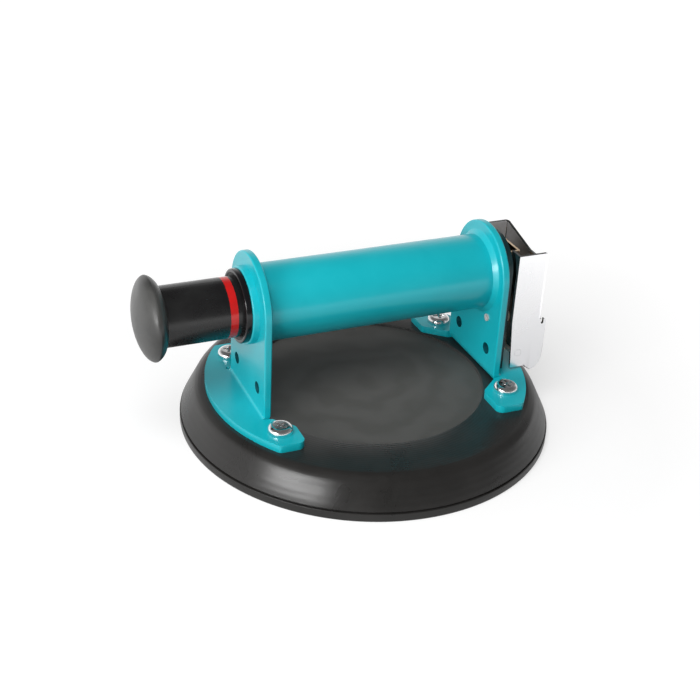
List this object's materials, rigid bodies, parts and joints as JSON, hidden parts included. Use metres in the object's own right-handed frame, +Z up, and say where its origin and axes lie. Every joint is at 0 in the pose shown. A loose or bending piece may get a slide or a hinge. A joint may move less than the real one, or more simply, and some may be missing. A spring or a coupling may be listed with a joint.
{
  "type": "vacuum pump suction lifter",
  "caption": "Hand-pump suction lifter: round rubber pad with a tubular pump handle on bent brackets, a plunger knob with a warning ring, and a release lever.",
  "frame": {"origin": "centre of the rubber pad on its sealing plane, where the pad meets the tile", "axes": "+Z up out of the pad along its axis, +X along the handle from the plunger knob to the release lever, +Y across the handle"},
  "size_m": [0.2261, 0.2, 0.105],
  "materials": {
    "pad_rubber": "moulded rubber, fine matt skin with a waxy sheen",
    "teal_paint": "semi-gloss powder coat, fine orange peel",
    "manifold_black": "black anodised, satin",
    "chrome_steel": "bright chrome plate, faint handling marks",
    "screw_chrome": "bright zinc-nickel plate",
    "plate_steel": "zinc-plated steel plate",
    "spring_steel": "drawn spring wire",
    "turned_brass": "turned brass",
    "pump_aluminium": "turned aluminium",
    "gloss_black": "glossy black tube",
    "matte_black": "black moulded plastic, soft sheen",
    "warning_red": "bright red moulded ring",
    "natural_plastic": "natural acetal",
    "seal_rubber": "nitrile rubber",
    "filter_foam": "open-cell foam"
  },
  "bodies": {
    "frame": {"suction_pad": "pad_rubber", "pad_backing_plate": "plate_steel", "threaded_bosses": "plate_steel", "plunger_end_bracket": "teal_paint", "valve_end_bracket": "teal_paint", "foot_screws": "screw_chrome", "handle_tube": "teal_paint", "end_gland": "matte_black", "gland_wiper": "seal_rubber", "guide_sleeve": "natural_plastic", "return_spring": "spring_steel", "cylinder_head": "pump_aluminium", "head_seal": "seal_rubber", "intake_valve_retainer": "turned_brass", "intake_valve_spring": "spring_steel", "manifold_gasket": "seal_rubber", "valve_manifold": "manifold_black", "manifold_screws": "chrome_steel", "port_tube": "turned_brass", "port_seal": "seal_rubber", "intake_filter": "filter_foam", "valve_guide_bracket": "chrome_steel", "guide_rivets": "chrome_steel", "release_valve_spring": "spring_steel", "lever_pin": "chrome_steel", "pin_spacers": "natural_plastic"},
    "plunger": {"plunger_shaft": "gloss_black", "plunger_knob": "matte_black", "vacuum_indicator_ring": "warning_red", "piston": "natural_plastic", "piston_seal": "seal_rubber", "exhaust_flap_valve": "seal_rubber"},
    "lever": {"release_lever": "chrome_steel"},
    "valve_stem": {"release_valve_stem": "turned_brass", "release_valve_seal": "seal_rubber", "stem_cap_nut": "chrome_steel"},
    "intake_valve": {"intake_valve_disc": "seal_rubber"}
  },
  "joints": [
    {"name": "plunger_slide", "type": "slide", "parent": "frame", "child": "plunger", "axis": [1, 0, 0], "range_m": [0, 0.033], "stiffness_N_per_m": 300, "springref_m": -0.02, "deforming": ["return_spring"]},
    {"name": "release_lever_hinge", "type": "hinge", "parent": "frame", "child": "lever", "pos_m": [0.08, 0, 0.036], "axis": [0, 1, 0], "range_deg": [0, 5], "stiffness_Nm_per_rad": 1.5, "springref_deg": -2.86},
    {"name": "release_valve_slide", "type": "slide", "parent": "frame", "child": "valve_stem", "axis": [1, 0, 0], "range_m": [0, 0.0037], "deforming": ["release_valve_spring"]},
    {"name": "intake_valve_slide", "type": "slide", "parent": "frame", "child": "intake_valve", "axis": [-1, 0, 0], "range_m": [0, 0.001], "stiffness_N_per_m": 60, "springref_m": -0.002, "deforming": ["intake_valve_spring"]}
  ],
  "couplings": [
    {"joint": "release_valve_slide", "follows": "release_lever_hinge", "m_per_rad": 0.042}
  ]
}
